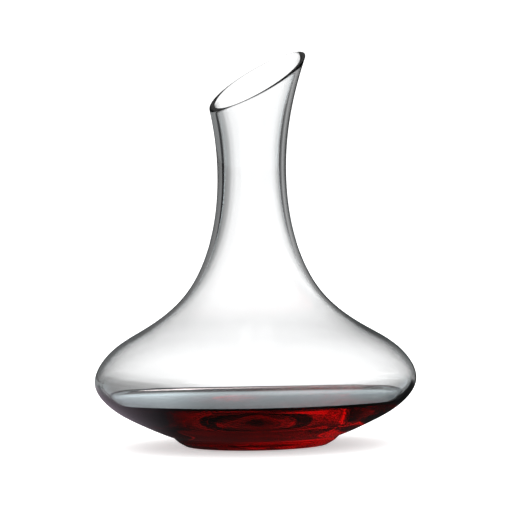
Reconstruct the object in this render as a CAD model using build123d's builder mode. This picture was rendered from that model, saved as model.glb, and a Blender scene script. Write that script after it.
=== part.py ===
"""Wine decanter: one blown-glass vessel with a slanted mouth, and the wine standing in it.

Millimetres, +Z up. The origin is on the vessel's axis, on the surface that it stands on.
+X points to the high side of the mouth.
"""

from build123d import *
from math import cos, radians, sin, tan
import os

# --- Driving sizes -------------------------------------------------------------------------
bulge_radius = 104.0  # widest point of the bowl, outside
bulge_height = 41.6
throat_radius = 22.3  # narrowest point of the neck, outside
throat_height = 172.5
mouth_height = 232.4  # where the slanted cut crosses the axis
mouth_slant = 31.5  # degrees, rising towards +X
flare_radius = 35.7  # outside of the neck just under the highest point of the mouth
flare_below_tip = 4.8
flare_spread = 0.36  # outward per unit of height there
lip_round = 1.1  # fire-polished edge of the mouth

foot_radius = 54.0  # where the bowl's underside meets the foot
foot_height = 6.3
underside_slope = 18.0  # degrees, where the underside leaves the foot
heel_inset = 3.8  # lower corner of the foot's side, in from its upper edge
heel_height = 2.7
rest_outer = 35.0  # ring that touches the table
rest_inner = 29.0
punt_height = 5.0  # hollow under the middle of the base
punt_shoulder = (0.55, 0.7)  # a point of its arc: shares of the ring's inner radius and the height

wall_flare = 2.8
wall_neck = 4.4
wall_collar = 3.2
wall_bulge = 2.6
wall_underside = 3.0
wall_foot = 4.6
base_middle = 7.5  # glass over the top of the punt
base_ring = 6.6  # glass over the resting ring

fill_height = 30.3  # surface of the wine above the table

# --- Sizes that follow from them -------------------------------------------------------------
heel_radius = foot_radius - heel_inset
tip_rise = flare_radius * tan(radians(mouth_slant))
flare_height = mouth_height + tip_rise - flare_below_tip

# The flare runs on past the slanted cut at its own slope, and is then cut off.
run_on = 14.0
underside_start = (cos(radians(underside_slope)), sin(radians(underside_slope)))
flare_end = (flare_spread, 1.0)
end_slopes = [underside_start, flare_end]
end_pulls = (1.0, 0.5)  # how firmly a line holds to the slopes at its two ends


def bowl_point(outward, up):
    """A point of the bowl's upper side: shares of the way from the throat to the bulge."""
    return (
        throat_radius + outward * (bulge_radius - throat_radius),
        bulge_height + up * (throat_height - bulge_height),
    )


def underside_point(outward, up):
    """A point of the bowl's underside: shares of the way from the foot to the bulge."""
    return (
        foot_radius + outward * (bulge_radius - foot_radius),
        foot_height + up * (bulge_height - foot_height),
    )


def neck_point(outward, up):
    """A point of the neck's top: shares of the way from the throat to the flare."""
    return (
        throat_radius + outward * (flare_radius - throat_radius),
        throat_height + up * (flare_height - throat_height),
    )


# --- Outlines, as (radius, height) -----------------------------------------------------------
# Each station of the outside has the wall that stands on it.
stations = [
    ((foot_radius, foot_height), wall_foot),
    (underside_point(0.42, 0.25), wall_underside),
    (underside_point(0.775, 0.54), wall_underside),
    ((bulge_radius, bulge_height), wall_bulge),
    (bowl_point(0.91, 0.13), wall_bulge),
    (bowl_point(0.59, 0.27), wall_bulge),
    (bowl_point(0.275, 0.43), wall_bulge),
    (bowl_point(0.10, 0.63), wall_collar),
    ((throat_radius, throat_height), wall_neck),
    (neck_point(0.19, 0.46), wall_neck),
    ((flare_radius, flare_height), wall_flare),
    (
        (flare_radius + flare_spread * run_on, flare_height + run_on),
        wall_flare,
    ),
]
outside_points = [point for point, wall in stations]

with BuildLine(Plane.XZ) as outside:
    Spline(*outside_points, tangents=end_slopes, tangent_scalars=end_pulls)

outside_edge = outside.edges()[0]


def inside_point(point, wall):
    """The point one wall inwards from a point of the outside, square to it."""
    radius, height = point
    along = outside_edge.tangent_at(Vector(radius, 0, height))
    return (radius - wall * along.Z, height + wall * along.X)


inside_points = [inside_point(point, wall) for point, wall in stations]
floor_middle = (0, punt_height + base_middle)
floor_ring = ((rest_inner + rest_outer) / 2, base_ring)

with BuildSketch(Plane.XZ) as outside_section:
    with BuildLine():
        punt = ThreePointArc(
            (0, punt_height),
            (rest_inner * punt_shoulder[0], punt_height * punt_shoulder[1]),
            (rest_inner, 0),
        )
        resting_ring = Line(punt @ 1, (rest_outer, 0))
        heel = TangentArc(resting_ring @ 1, (heel_radius, heel_height), tangent=(1, 0))
        foot_side = Line(heel @ 1, outside_points[0])
        bowl_and_neck = Spline(*outside_points, tangents=end_slopes, tangent_scalars=end_pulls)
        top = Line(bowl_and_neck @ 1, (0, outside_points[-1][1]))
        Line(top @ 1, punt @ 0)
    make_face()

with BuildSketch(Plane.XZ) as inside_section:
    with BuildLine():
        wall_line = Spline(
            floor_middle,
            floor_ring,
            *inside_points,
            tangents=[(1, 0), flare_end],
            tangent_scalars=end_pulls,
        )
        mouth_line = Line(wall_line @ 1, (0, inside_points[-1][1]))
        Line(mouth_line @ 1, wall_line @ 0)
    make_face()

mouth_plane = Plane(
    origin=(0, 0, mouth_height),
    z_dir=(-sin(radians(mouth_slant)), 0, cos(radians(mouth_slant))),
)

# --- Vessel: one piece of blown glass ---------------------------------------------------------
with BuildPart() as glass_vessel:
    revolve(outside_section.sketch, axis=Axis.Z)
    revolve(inside_section.sketch, axis=Axis.Z, mode=Mode.SUBTRACT)
    split(bisect_by=mouth_plane, keep=Keep.BOTTOM)
    cut_face = glass_vessel.faces().filter_by(mouth_plane).sort_by(Axis.Z)[-1]
    fillet(cut_face.edges(), radius=lip_round)

glass_vessel.part.label = "glass_vessel"

# --- Wine: fills the inside of the vessel up to a level surface --------------------------------
with BuildPart() as wine:
    revolve(inside_section.sketch, axis=Axis.Z)
    split(bisect_by=Plane.XY.offset(fill_height), keep=Keep.BOTTOM)

wine.part.label = "wine"

os.makedirs("parts", exist_ok=True)
for piece in (glass_vessel, wine):
    export_step(piece.part, f"parts/{piece.part.label}.step")

# --- Facts worth reading after a change -------------------------------------------------------
with BuildPart() as to_the_bulge:
    revolve(inside_section.sketch, axis=Axis.Z)
    split(bisect_by=Plane.XY.offset(bulge_height), keep=Keep.BOTTOM)

cubic_mm_per_ml = 1000

print("size", glass_vessel.part.bounding_box().size)
print("glass ml", round(glass_vessel.part.volume / cubic_mm_per_ml, 1))
print("wine ml", round(wine.part.volume / cubic_mm_per_ml, 1))
print("ml up to the widest point", round(to_the_bulge.part.volume / cubic_mm_per_ml, 1))
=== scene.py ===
import bpy
import numpy as np
from math import cos, hypot, pi, radians, sin, tan
from mathutils import Matrix, Vector


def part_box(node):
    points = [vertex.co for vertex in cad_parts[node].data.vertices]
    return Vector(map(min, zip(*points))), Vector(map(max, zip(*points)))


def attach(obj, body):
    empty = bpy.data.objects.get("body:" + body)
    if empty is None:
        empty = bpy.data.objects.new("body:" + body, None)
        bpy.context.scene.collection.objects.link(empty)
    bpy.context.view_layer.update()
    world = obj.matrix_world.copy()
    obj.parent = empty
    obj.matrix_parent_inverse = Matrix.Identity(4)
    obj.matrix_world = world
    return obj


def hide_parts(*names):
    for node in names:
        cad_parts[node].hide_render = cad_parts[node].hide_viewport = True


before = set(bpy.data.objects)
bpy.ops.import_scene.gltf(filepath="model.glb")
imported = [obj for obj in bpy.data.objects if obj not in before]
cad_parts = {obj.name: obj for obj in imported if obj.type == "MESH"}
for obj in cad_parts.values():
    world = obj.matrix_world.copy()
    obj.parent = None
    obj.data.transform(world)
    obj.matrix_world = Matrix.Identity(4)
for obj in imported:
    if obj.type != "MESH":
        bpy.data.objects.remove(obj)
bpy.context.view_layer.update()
mm = 0.001


class Sock:
    # wraps a node's output, so that a + b or 1 - a adds the node that works it out
    def __init__(self, tree, out):
        self.tree = tree
        self.out = out

    def maths(self, operation, *values):
        # a Math node would turn a colour grey, so colours and vectors go through Vector Math
        vectors = any(isVector(value) for value in values)
        node = self.tree.nodes.new("ShaderNodeVectorMath" if vectors else "ShaderNodeMath")
        node.operation = operation
        for slot, value in zip(node.inputs, values):
            plug(self.tree, slot, value)
        return Sock(self.tree, node.outputs[0])

    def __add__(self, other):
        return self.maths("ADD", self, other)

    def __radd__(self, other):
        return self.maths("ADD", other, self)

    def __sub__(self, other):
        return self.maths("SUBTRACT", self, other)

    def __rsub__(self, other):
        return self.maths("SUBTRACT", other, self)

    def __mul__(self, other):
        return self.maths("MULTIPLY", self, other)

    def __rmul__(self, other):
        return self.maths("MULTIPLY", other, self)

    def __truediv__(self, other):
        return self.maths("DIVIDE", self, other)

    def __rtruediv__(self, other):
        return self.maths("DIVIDE", other, self)

    def __pow__(self, other):
        return self.maths("POWER", self, other)

    def __rpow__(self, other):
        return self.maths("POWER", other, self)

    def __gt__(self, other):
        return self.maths("GREATER_THAN", self, other)

    def __lt__(self, other):
        return self.maths("LESS_THAN", self, other)

    def __abs__(self):
        return self.maths("ABSOLUTE", self)

    def atLeast(self, least):
        return self.maths("MAXIMUM", self, least)


def isVector(value):
    if isinstance(value, Sock):
        return value.out.type in ("VECTOR", "RGBA")
    return isinstance(value, tuple)


def plug(tree, slot, value):
    # links a wrapped output to a socket, or sets a number or colour on it
    if isinstance(value, Sock):
        tree.links.new(value.out, slot)
    elif isinstance(value, tuple) or not hasattr(slot.default_value, "__len__"):
        slot.default_value = value
    else:
        slot.default_value = [value] * len(slot.default_value)


class Mixer:
    # the nodes of one material, or of the world
    def __init__(self, owner):
        owner.use_nodes = True
        self.tree = owner.node_tree
        self.tree.nodes.clear()
        isWorld = isinstance(owner, bpy.types.World)
        self.outputKind = "ShaderNodeOutputWorld" if isWorld else "ShaderNodeOutputMaterial"

    def add(self, kind, settings=None, output=0, **values):
        # settings first, then the sockets by name, with _ for a space
        node = self.tree.nodes.new(kind)
        for name, value in (settings or {}).items():
            if name == "stops":
                setStops(node.color_ramp, value)
            else:
                setattr(node, name, value)
        for name, value in values.items():
            plug(self.tree, socketNamed(node, name), value)
        return Sock(self.tree, node.outputs[output]) if node.outputs else None

    def ramp(self, value, stops):
        return self.add("ShaderNodeValToRGB", {"stops": stops}, Fac=value)

    def blend(self, factor, first, second):
        # output 2 of a Mix node is its colour
        return self.add(
            "ShaderNodeMix", {"data_type": "RGBA"}, 2, Factor_Float=factor, A_Color=first, B_Color=second
        )

    def dot(self, vector, axis):
        settings = {"operation": "DOT_PRODUCT"}
        return self.add("ShaderNodeVectorMath", settings, "Value", Vector=vector, Vector_001=tuple(axis))

    def path(self, what):
        # how the light came here: a count or a flag
        return self.add("ShaderNodeLightPath", output=what)

    def place(self):
        # the surface's own place in the decanter's frame, in metres
        return self.add("ShaderNodeTexCoord", output="Object")

    def height(self, vector):
        return self.add("ShaderNodeSeparateXYZ", output="Z", Vector=vector)

    def noise(self, vector, scale, detail=2.0, rough=0.5):
        return self.add("ShaderNodeTexNoise", Vector=vector, Scale=scale, Detail=detail, Roughness=rough)

    def finish(self, **shaders):
        self.add(self.outputKind, **shaders)


def socketNamed(node, name):
    for slot in node.inputs:
        if name == slot.identifier or name.replace("_", " ") == slot.name:
            return slot
    raise KeyError(name)


def setStops(ramp, stops):
    # the stops are (place, grey) or (place, colour)
    ramp.interpolation = "EASE"
    for place, tone in stops[1:-1]:
        ramp.elements.new(place)
    for element, (place, tone) in zip(ramp.elements, stops):
        element.position = place
        element.color = tone if isinstance(tone, tuple) else (tone, tone, tone, 1)


class SmoothLine:
    # a smooth line through points (radius, height), that sets out along start and comes in along end
    def __init__(self, points, start, end=None):
        p = np.array(points, float)
        stations = np.concatenate([[0], np.cumsum(np.linalg.norm(np.diff(p, axis=0), axis=1))])
        gap = np.diff(stations)
        system = np.eye(len(p))
        right = np.zeros_like(p)
        right[0] = np.array(start) / hypot(*start)
        right[-1] = np.array(end) / hypot(*end) if end else freeSlope(stations[-4:], p[-4:])
        for i in range(1, len(gap)):
            system[i, i - 1:i + 2] = gap[i], 2 * (gap[i - 1] + gap[i]), gap[i - 1]
            before = (p[i] - p[i - 1]) / gap[i - 1]
            after = (p[i + 1] - p[i]) / gap[i]
            right[i] = 3 * (gap[i] * before + gap[i - 1] * after)
        self.points = p
        self.stations = stations  # how far along the line each point is
        self.gap = gap
        self.slopes = np.linalg.solve(system, right)
        self.length = stations[-1]

    def at(self, where):
        # the line's points at one or more distances along it
        where = np.atleast_1d(where)
        i = np.clip(np.searchsorted(self.stations, where, side="right") - 1, 0, len(self.gap) - 1)
        s = ((where - self.stations[i]) / self.gap[i])[:, None]
        span = self.gap[i][:, None]
        return (
            (1 + 2 * s) * (1 - s) ** 2 * self.points[i]
            + s * (1 - s) ** 2 * span * self.slopes[i]
            + s * s * (3 - 2 * s) * self.points[i + 1]
            + s * s * (s - 1) * span * self.slopes[i + 1]
        )


def freeSlope(stations, points):
    # the slope that a cubic through the points has at the last of them
    fits = [np.polyfit(stations - stations[-1], points[:, k], 3) for k in (0, 1)]
    return np.array([fit[2] for fit in fits])


def findAlong(line, low, high, isBefore):
    # how far along the line isBefore(radius, height) stops being so, halving the stretch each turn
    for turn in range(40):
        middle = (low + high) / 2
        if isBefore(*line.at(middle)[0]):
            low = middle
        else:
            high = middle
    return (low + high) / 2


def share(first, last, outward, up):
    return (
        first[0] + outward * (last[0] - first[0]),
        first[1] + up * (last[1] - first[1]),
    )


def corner(start, control, end, count):
    # a rounded corner from start to end, leaving out start
    t = np.linspace(0, 1, count + 1)[1:, None]
    return (1 - t) ** 2 * start + 2 * t * (1 - t) * control + t * t * end


def angles(count):
    return [2 * pi * k / count for k in range(count)]


def lathe(name, sections, material):
    # sections holds an outline for each angle, that starts and ends on the axis
    around = len(sections)
    ring = len(sections[0]) - 2
    verts = [(0, 0, sections[0][0][1] * mm), (0, 0, sections[0][-1][1] * mm)]
    for section, angle in zip(sections, angles(around)):
        for radius, height in section[1:-1]:
            verts.append((radius * cos(angle) * mm, radius * sin(angle) * mm, height * mm))
    faces = []
    for k in range(around):
        here = 2 + k * ring
        beside = 2 + (k + 1) % around * ring
        faces.append((0, beside, here))
        faces.append((1, here + ring - 1, beside + ring - 1))
        for i in range(ring - 1):
            faces.append((here + i, beside + i, beside + i + 1, here + i + 1))
    mesh = bpy.data.meshes.new(name)
    mesh.from_pydata(verts, [], faces)
    mesh.materials.append(material)
    mesh.shade_smooth()
    mesh.update()
    piece = bpy.data.objects.new(name, mesh)
    bpy.context.scene.collection.objects.link(piece)
    return piece


# the vessel's lengths are in millimetres, and its points are (radius, height)
glassSpec = {
    "foot": (54.0, 6.3),
    "bulge": (104.0, 41.6),
    "throat": (22.3, 172.5),
    "flare": (35.7, 249.5),
    "stations": [  # from one point towards another, by which shares outward and up, and the wall there
        ("foot", "foot", 0, 0, 4.6),
        ("foot", "bulge", 0.42, 0.25, 3.0),
        ("foot", "bulge", 0.775, 0.54, 3.0),
        ("bulge", "bulge", 0, 0, 2.6),
        ("throat", "bulge", 0.91, 0.87, 2.6),
        ("throat", "bulge", 0.59, 0.73, 2.6),
        ("throat", "bulge", 0.275, 0.57, 2.6),
        ("throat", "bulge", 0.10, 0.37, 3.2),
        ("throat", "throat", 0, 0, 4.4),
        ("throat", "flare", 0.19, 0.46, 4.4),
        ("flare", "flare", 0, 0, 2.8),
    ],
    "undersideSlope": 18.0,  # degrees, where the bowl leaves the foot
    "flareSpread": 0.36,  # how much wider the neck gets for each millimetre up, at the mouth
    "runOn": 14.0,  # how far the outline runs on above the flare before the mouth is cut
    "mouthHeight": 232.4,  # of the slanted cut, on the axis
    "mouthSlant": 31.5,
    "lipRound": 1.5,
    "baseMiddle": 7.5,  # the glass over the punt
    "baseRing": 6.6,  # and over the ring that it stands on
    "restInner": 29.0,
    "restOuter": 35.0,
    "restRound": 1.0,
    "puntHeight": 5.0,
    "puntShoulder": (0.55, 0.7),  # as shares of the ring's inside and of the punt's height
    "puntEdge": (0.8, 0.12),  # how far inside the ring the punt ends, and how high
    "heel": (50.2, 2.7),
    "heelRound": 1.4,
    "heelPull": 0.2,
    "underHeel": (4.2, 0.55),  # how far inside the heel the underside starts to rise, and how high
    "underPull": 6.0,
    "around": 240,
    "puntSteps": 22,
    "puntEdgeSteps": 4,
    "restSteps": 6,
    "underSteps": 10,
    "heelSteps": 6,
    "bowlSteps": 108,
    "baseSteps": 16,  # that the inside has more of, over the base
    "neckSteps": 40,
    "lipSteps": 7,
    "refraction": 1.52,
    "tint": (0.80, 0.812, 0.818, 1),  # what a colour lacks of 1, times depth, is held back for each metre
    "depth": 85.0,
    "ripple": 0.003,  # from the blowing, drawn out along the neck
    "rippleScale": 26,
    "rippleDrawn": (1, 1, 0.35),
    "rippleDepth": 0.004,
    "smear": 0.012,  # a breath of wiping marks
    "smearScale": 14,
    "smearSharpness": 4,
    "ringWear": 0.22,  # fine scuffs on the ring that it stands on
    "ringWearScale": 900,
    "ringWearTop": 0.0006,
}


def glassStations():
    s = glassSpec
    for first, last, outward, up, wall in s["stations"]:
        yield share(s[first], s[last], outward, up), wall
    radius, height = s["flare"]
    yield (radius + s["flareSpread"] * s["runOn"], height + s["runOn"]), wall


def outerLine():
    s = glassSpec
    slope = radians(s["undersideSlope"])
    points = [point for point, wall in glassStations()]
    return SmoothLine(points, (cos(slope), sin(slope)), (s["flareSpread"], 1))


def innerLine():
    # over the punt and the ring, then one wall inwards from each station, square to the outline
    s = glassSpec
    points = [
        (0, s["puntHeight"] + s["baseMiddle"]),
        ((s["restInner"] + s["restOuter"]) / 2, s["baseRing"]),
    ]
    for (point, wall), slope in zip(glassStations(), outline.slopes):
        along = slope / hypot(*slope)
        points.append((point[0] - wall * along[1], point[1] + wall * along[0]))
    return SmoothLine(points, (1, 0))


outline = outerLine()
inline = innerLine()
overBase = 2  # stations that only the inside has, before the others


def stationOf(name):
    # which of the outline's stations is the named point itself
    return [station[:2] for station in glassSpec["stations"]].index((name, name))


def mouthPlane(radius, angle):
    # height of the slanted cut over a point of the neck
    return glassSpec["mouthHeight"] + radius * cos(angle) * tan(radians(glassSpec["mouthSlant"]))


def cutAt(line, angle):
    # how far along the line the slanted cut meets it, in its upper part
    return findAlong(
        line, line.length * 0.6, line.length, lambda radius, height: height < mouthPlane(radius, angle)
    )


def baseOutline():
    # from the top of the punt to the foot of the bowl
    s = glassSpec
    inner, outer, rounding = s["restInner"], s["restOuter"], s["restRound"]
    top = (0, s["puntHeight"])
    shoulder = (inner * s["puntShoulder"][0], s["puntHeight"] * s["puntShoulder"][1])
    punt = SmoothLine([top, shoulder, (inner - s["puntEdge"][0], s["puntEdge"][1])], (1, 0))
    heel = np.array(s["heel"])
    foot = np.array(s["foot"])
    down = (heel - foot) / np.linalg.norm(heel - foot)
    under = np.array([heel[0] - s["underHeel"][0], s["underHeel"][1]])
    restStart = np.array([inner + rounding, 0.0])
    restEnd = np.array([outer - rounding, 0.0])
    return np.concatenate([
        punt.at(np.linspace(0, punt.length, s["puntSteps"])),
        corner(punt.at(punt.length)[0], np.array([inner, 0.0]), restStart, s["puntEdgeSteps"]),
        np.linspace(restStart, restEnd, s["restSteps"])[1:],
        corner(restEnd, np.array([outer + s["underPull"], 0.0]), under, s["underSteps"]),
        corner(under, heel - down * s["heelPull"], heel - down * s["heelRound"], s["heelSteps"]),
    ])


def glassSection(angle):
    # the whole outline of the wall at one angle: base, outside, lip, inside
    s = glassSpec
    outEnd = cutAt(outline, angle)
    inEnd = cutAt(inline, angle)
    outThroat = outline.stations[stationOf("throat")]
    inThroat = inline.stations[stationOf("throat") + overBase]
    outer = np.concatenate([
        outline.at(np.linspace(0, outThroat, s["bowlSteps"]))[:-1],
        outline.at(np.linspace(outThroat, outEnd - s["lipRound"], s["neckSteps"])),
    ])
    inner = np.concatenate([
        inline.at(np.linspace(inEnd - s["lipRound"], inThroat, s["neckSteps"]))[:-1],
        inline.at(np.linspace(inThroat, 0, s["bowlSteps"] + s["baseSteps"])),
    ])
    outTip = outline.at(outEnd)[0]
    inTip = inline.at(inEnd)[0]
    top = (outTip + inTip) / 2
    lip = np.concatenate([
        corner(outer[-1], outTip, top, s["lipSteps"]),
        corner(top, inTip, inner[0], s["lipSteps"])[:-1],
    ])
    return np.concatenate([baseOutline(), outer, lip, inner])


def blownCrystal():
    s = glassSpec
    material = bpy.data.materials.new("blown_crystal")
    m = Mixer(material)
    place = m.place()
    drawn = m.add("ShaderNodeMapping", Vector=place, Scale=s["rippleDrawn"])
    ripple = m.noise(drawn, s["rippleScale"], detail=1.0)
    bump = m.add("ShaderNodeBump", Height=ripple, Strength=s["ripple"], Distance=s["rippleDepth"])
    atRing = m.height(place) < s["ringWearTop"]
    scuffs = m.noise(place, s["ringWearScale"], detail=3.0, rough=0.7)
    wiped = m.noise(place, s["smearScale"], detail=3.0, rough=0.6)
    rough = atRing * scuffs * s["ringWear"] + wiped ** s["smearSharpness"] * s["smear"]
    shader = m.add(
        "ShaderNodeBsdfPrincipled",
        Base_Color=(1, 1, 1, 1), Roughness=rough, IOR=s["refraction"], Transmission_Weight=1.0, Normal=bump,
    )
    volume = m.add("ShaderNodeVolumeAbsorption", Color=s["tint"], Density=s["depth"])
    m.finish(Surface=shader, Volume=volume)
    return material


decanter = lathe("decanter_glass", [glassSection(a) for a in angles(glassSpec["around"])], blownCrystal())
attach(decanter, "root")
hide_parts("glass_vessel")
print("glass blown:", len(decanter.data.polygons), "faces")


# lengths in millimetres; the level is the CAD's
wineSpec = {
    "wet": 0.06,  # how far the wine reaches into the glass, so that no air is left between them
    "creep": 1.6,  # how far it climbs the wall at its rim
    "creepReach": 3.4,  # over this width the climb falls to a third, creepSharpness times
    "creepSharpness": 2.2,
    "creepFalls": 7,  # and so many times before the surface is flat
    "creepSteps": 26,
    "wallSteps": 120,
    "surfaceSteps": 30,
    "around": 240,
    "refraction": 1.345,
    "tint": (0.984, 0.10, 0.16, 1),
    "depth": 330.0,
    "tones": ((1.0, 0.93, 0.93, 1), (1.0, 0.97, 0.96, 1)),
    "swirl": 0.004,
    "swirlScale": 18,
    "swirlDepth": 0.002,
}


def wineReach(top):
    # how far along the inside the wall is this high, looked for from the ring to just above the bulge
    ring, aboveBulge = inline.stations[1], inline.stations[stationOf("bulge") + overBase + 1]
    return findAlong(inline, ring, aboveBulge, lambda radius, height: height < top)


def wineSection():
    # up along the wet wall, then inwards over the creep and the flat surface
    s = wineSpec
    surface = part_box("wine")[1][2] / mm
    line = inline.at(np.linspace(0, wineReach(surface + s["creep"]), s["wallSteps"]))
    along = np.gradient(line, axis=0)
    along /= np.linalg.norm(along, axis=1)[:, None]
    wet = line + s["wet"] * np.stack([along[:, 1], -along[:, 0]], axis=1)
    wet[0][0] = 0
    falls = np.linspace(0, s["creepFalls"], s["creepSteps"])[1:]
    inwards = wet[-1][0] - falls * s["creepReach"] / s["creepSharpness"]
    climb = np.stack([inwards, surface + s["creep"] * np.exp(-falls)], axis=1)
    flat = np.linspace((inwards[-1], surface), (0, surface), s["surfaceSteps"])[1:]
    return np.concatenate([wet, climb, flat])


def redWine():
    s = wineSpec
    material = bpy.data.materials.new("red_wine")
    m = Mixer(material)
    swirl = m.noise(m.place(), s["swirlScale"])
    bump = m.add("ShaderNodeBump", Height=swirl, Strength=s["swirl"], Distance=s["swirlDepth"])
    tone = m.blend(swirl, *s["tones"])
    shader = m.add(
        "ShaderNodeBsdfPrincipled",
        Base_Color=tone, Roughness=0.0, IOR=s["refraction"], Transmission_Weight=1.0, Normal=bump,
    )
    volume = m.add("ShaderNodeVolumeAbsorption", Color=s["tint"], Density=s["depth"])
    m.finish(Surface=shader, Volume=volume)
    return material


wine = lathe("red_wine_fill", [wineSection()] * wineSpec["around"], redWine())
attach(wine, "root")
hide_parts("wine")
print("wine poured:", len(wine.data.polygons), "faces")


# lengths in metres; what goes from left to right is as the camera sees it
studioSpec = {
    "facing": -33.5,  # degrees, the side that the room is laid out for
    "floorRadius": 9.0,
    "floorDrop": 0.0002,
    "floorSides": 96,
    "floorGrain": 40,
    "floorTones": ((0.90, 0.90, 0.90, 1), (0.93, 0.93, 0.93, 1)),
    "table": 0.5,  # how much light comes up through the floor itself
    "overhead": 0.4,  # how much brighter the room is straight up, to light the floor
    "backdrop": 1.36,  # what is seen straight through the glass
    "wineShade": 0.85,  # how much of that is held back behind the wine
    # how many surfaces light has passed, at least, when it shows the glass's edges, the inside and the wine
    "edgesFrom": 1,
    "insideFrom": 3,
    "wineFrom": 5,
    # how the backdrop, as the glass shows it, dims to both sides of its middle and is lighter further out
    "flags": [
        (0.0, 0.9), (0.08, 0.9), (0.14, 0.30), (0.33, 0.30), (0.38, 0.42), (0.42, 0.72), (0.455, 0.93),
        (0.475, 1.0), (0.58, 1.0), (0.61, 0.92), (0.66, 0.74), (0.72, 0.55), (0.86, 0.50), (0.93, 0.9),
        (1.0, 0.9),
    ],
    # how the decanter's own shade on the floor, seen through the glass, fades over shadeReach
    "shade": [(0.0, 1.0), (0.22, 1.0), (0.30, 0.30), (1.0, 0.0)],
    "shadeReach": 0.5,
    "shadeDepth": 0.97,
    # what the edges of the glass show, from the far left round to the far right
    "edges": [
        (0.0, 0.28), (0.07, 0.28), (0.095, 0.01), (0.155, 0.01), (0.20, 0.27), (0.42, 0.26), (0.50, 0.12),
        (0.56, 0.10), (0.66, 0.38), (0.78, 0.52), (0.85, 0.18), (0.905, 0.08), (0.95, 0.28), (1.0, 0.28),
    ],
    # and how much of that the floor gives, from the decanter out to edgesReach
    "edgesOut": [(0.0, 0.05), (0.5, 0.1), (0.9, 1.0)],
    "edgesReach": 0.5,
    # what the inside of the vessel shows, from the horizon up, and how much of it from left to right
    "haze": [
        (0.0, 0.0), (0.02, 0.0), (0.05, (0.72, 0.84, 0.88, 1)), (0.12, (0.46, 0.53, 0.56, 1)), (0.30, 0.10),
        (0.60, 0.45), (1.0, 0.6),
    ],
    "sides": [(0.0, 1.0), (0.40, 2.6), (0.47, 2.1), (0.49, 1.1), (0.52, 1.25), (0.56, 1.6), (1.0, 1.0)],
    "aloft": [(0.0, 0.0), (0.2, 0.0), (0.6, 0.4), (1.0, 0.5)],  # what the edges show more of, higher up
    # what is seen through the wine, from left to right; the light crosses over, so the wine's right is lit
    "glow": [(0.0, 6.0), (0.34, 5.0), (0.46, 2.6), (0.58, 0.6), (0.75, 0.10), (1.0, 0.05)],
    # and how much of it there is from the horizon up, and on the floor out to glowReach
    "glowUp": [(0.0, 0.01), (0.12, 0.03), (0.35, 0.36), (1.0, 0.36)],
    "glowOut": [(0.0, 0.03), (0.30, 0.03), (0.45, 0.5), (0.6, 1.0), (0.85, 0.9), (1.0, 0.2)],
    "glowReach": 0.4,
    # what the outside of the glass shows of the floor, over sheenWidth from left to right
    "sheen": [
        (0.0, (0.30, 0.33, 0.34, 1)), (0.12, (0.44, 0.42, 0.46, 1)), (0.30, (0.30, 0.25, 0.30, 1)),
        (0.42, 0.02), (1.0, 0.008),
    ],
    "sheenWidth": 0.6,
    "sheenHaze": 0.12,  # and how much it shows of the haze and of what is aloft
    "sheenAloft": 0.4,
    # soft boxes: degrees right of the camera, degrees up, half width, half height, brightness
    "windows": [
        (58, 50, 0.20, 0.10, 1.6),
        (-52, 48, 0.22, 0.08, 1.0),
    ],
    "windowSoftness": {
        "across": [(0.0, 1.0), (0.72, 1.0), (1.0, 0.0)],
        "up": [(0.0, 1.0), (0.60, 1.0), (1.0, 0.0)],
    },
}


def besideIn(m, vector):
    # how far a place or a direction lies to the right
    facing = radians(studioSpec["facing"])
    return m.dot(vector, (cos(facing), sin(facing), 0))


def fromLeft(beside):
    # from -1 at the far left and 1 at the far right to the 0 to 1 of a ramp
    return beside * 0.5 + 0.5


def mirrored(m):
    # 1 for light that the glass or the wine has turned back on its way, inside or out
    return m.path("Glossy Depth") > 0.5


def hasPassed(m, surfaces):
    return m.path("Transmission Depth") > studioSpec[surfaces] - 0.5


def darkRoom(m, sheen, edges, inside, glow):
    # the dark room as the outside of the glass, its edges, the vessel's inside and the wine show it
    shown = m.blend(hasPassed(m, "edgesFrom"), sheen, edges)
    shown = m.blend(hasPassed(m, "insideFrom"), shown, inside)
    return m.blend(hasPassed(m, "wineFrom"), shown, glow)


def backdrop(m, beside):
    # the white seen straight through the glass, and less of it through the wine
    held = 1 - hasPassed(m, "wineFrom") * studioSpec["wineShade"]
    return m.ramp(fromLeft(beside), studioSpec["flags"]) * held * studioSpec["backdrop"]


def paleFloor():
    s = studioSpec
    material = bpy.data.materials.new("pale_floor")
    m = Mixer(material)
    place = m.place()
    beside = besideIn(m, place)
    away = m.add("ShaderNodeVectorMath", {"operation": "LENGTH"}, "Value", Vector=place)
    turned = beside / away

    tone = m.blend(m.noise(place, s["floorGrain"], detail=3.0), *s["floorTones"])
    paint = m.add("ShaderNodeBsdfDiffuse", Color=tone)
    fromBelow = m.add("ShaderNodeEmission", Color=tone, Strength=s["table"])
    paint = m.add("ShaderNodeAddShader", Shader=paint, Shader_001=fromBelow)

    shade = m.ramp(away / s["shadeReach"], s["shade"]) * s["shadeDepth"]
    white = m.add("ShaderNodeEmission", Color=backdrop(m, turned) * (1 - shade), Strength=1.0)
    lit = m.add("ShaderNodeMixShader", Fac=m.path("Is Transmission Ray"), Shader=paint, Shader_001=white)

    edges = m.ramp(fromLeft(turned), s["edges"]) * m.ramp(away / s["edgesReach"], s["edgesOut"])
    glow = m.ramp(fromLeft(turned), s["glow"]) * m.ramp(away / s["glowReach"], s["glowOut"])
    sheen = m.ramp(beside / s["sheenWidth"] + 0.5, s["sheen"])
    dark = m.add("ShaderNodeEmission", Color=darkRoom(m, sheen, edges, edges, glow), Strength=1.0)
    m.finish(Surface=m.add("ShaderNodeMixShader", Fac=mirrored(m), Shader=lit, Shader_001=dark))
    return material


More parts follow.
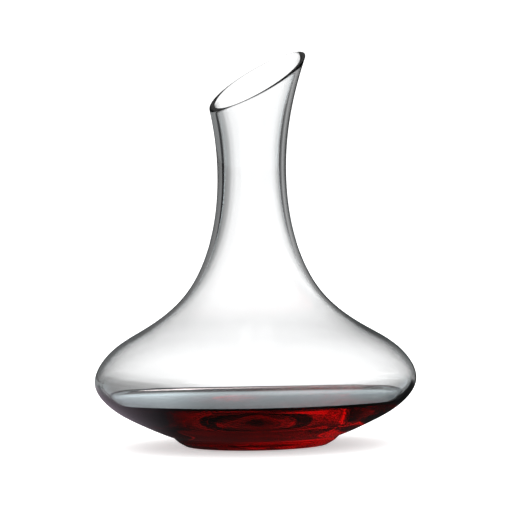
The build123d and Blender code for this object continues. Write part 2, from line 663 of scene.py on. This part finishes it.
def layFloor():
    s = studioSpec
    mesh = bpy.data.meshes.new("floor")
    radius = s["floorRadius"]
    rim = [(radius * cos(a), radius * sin(a), -s["floorDrop"]) for a in angles(s["floorSides"])]
    mesh.from_pydata(rim, [], [tuple(range(len(rim)))])
    mesh.materials.append(paleFloor())
    floor = bpy.data.objects.new("floor", mesh)
    bpy.context.scene.collection.objects.link(floor)


def window(m, direction, turn, up, halfWidth, halfHeight):
    # 1 inside a soft-edged rectangle of the room, seen from the decanter
    softness = studioSpec["windowSoftness"]
    turn = radians(studioSpec["facing"] + turn)
    up = radians(up)
    centre = Vector((sin(turn) * cos(up), -cos(turn) * cos(up), sin(up)))
    right = Vector((cos(turn), sin(turn), 0))
    ahead = m.dot(direction, centre)
    across = m.dot(direction, right) / ahead
    upward = m.dot(direction, centre.cross(right)) / ahead
    wide = m.ramp(abs(across) / halfWidth, softness["across"])
    tall = m.ramp(abs(upward) / halfHeight, softness["up"])
    return wide * tall * (ahead > 0.1)


def lightRoom():
    s = studioSpec
    world = bpy.data.worlds.new("studio")
    bpy.context.scene.world = world
    m = Mixer(world)
    direction = m.add("ShaderNodeTexCoord", output="Generated")
    up = m.height(direction)
    beside = besideIn(m, direction)
    across = fromLeft(beside)

    haze = m.ramp(up, s["haze"])
    for *box, bright in s["windows"]:
        haze = haze + window(m, direction, *box) * bright
    aloft = m.ramp(up, s["aloft"])
    sheen = haze * s["sheenHaze"] + aloft * s["sheenAloft"]
    edges = m.ramp(across, s["edges"])
    inside = haze * m.ramp(across, s["sides"]) + edges
    glow = m.ramp(across, s["glow"]) * m.ramp(up, s["glowUp"])
    room = darkRoom(m, sheen, edges + aloft, inside, glow)

    sky = up.atLeast(0.0) * s["overhead"] + s["backdrop"]
    sky = m.blend(m.path("Is Transmission Ray"), sky, backdrop(m, beside))
    seen = m.blend(mirrored(m), sky, room)
    m.finish(Surface=m.add("ShaderNodeBackground", Color=seen, Strength=1.0))


layFloor()
print("floor laid")
lightRoom()
print("room lit:", len(studioSpec["windows"]), "soft boxes")


cameraSpec = {
    "azimuth": -33.5,  # degrees
    "distance": 1.77,  # metres, from the vessel's axis
    "height": 0.157,
    "aim": 0.1198,
    "aside": 0.0043,  # how far the aim lies to the right of the axis
    "lens": 189.6,  # millimetres
    "roll": 1.05,  # degrees
}


def setCamera():
    s = cameraSpec
    turn = radians(s["azimuth"])
    right = Vector((cos(turn), sin(turn), 0))
    back = Vector((sin(turn), -cos(turn), 0))
    place = back * s["distance"] + Vector((0, 0, s["height"]))
    aim = right * s["aside"] + Vector((0, 0, s["aim"]))
    look = (aim - place).to_track_quat("-Z", "Y").to_matrix()
    rolled = look @ Matrix.Rotation(radians(-s["roll"]), 3, "Z")
    camera = bpy.data.objects.new("camera", bpy.data.cameras.new("camera"))
    camera.data.lens = s["lens"]
    camera.data.sensor_width = 36
    camera.matrix_world = Matrix.Translation(place) @ rolled.to_4x4()
    bpy.context.scene.collection.objects.link(camera)
    bpy.context.scene.camera = camera


setCamera()
bpy.context.scene.view_settings.view_transform = "Standard"
print("camera set")
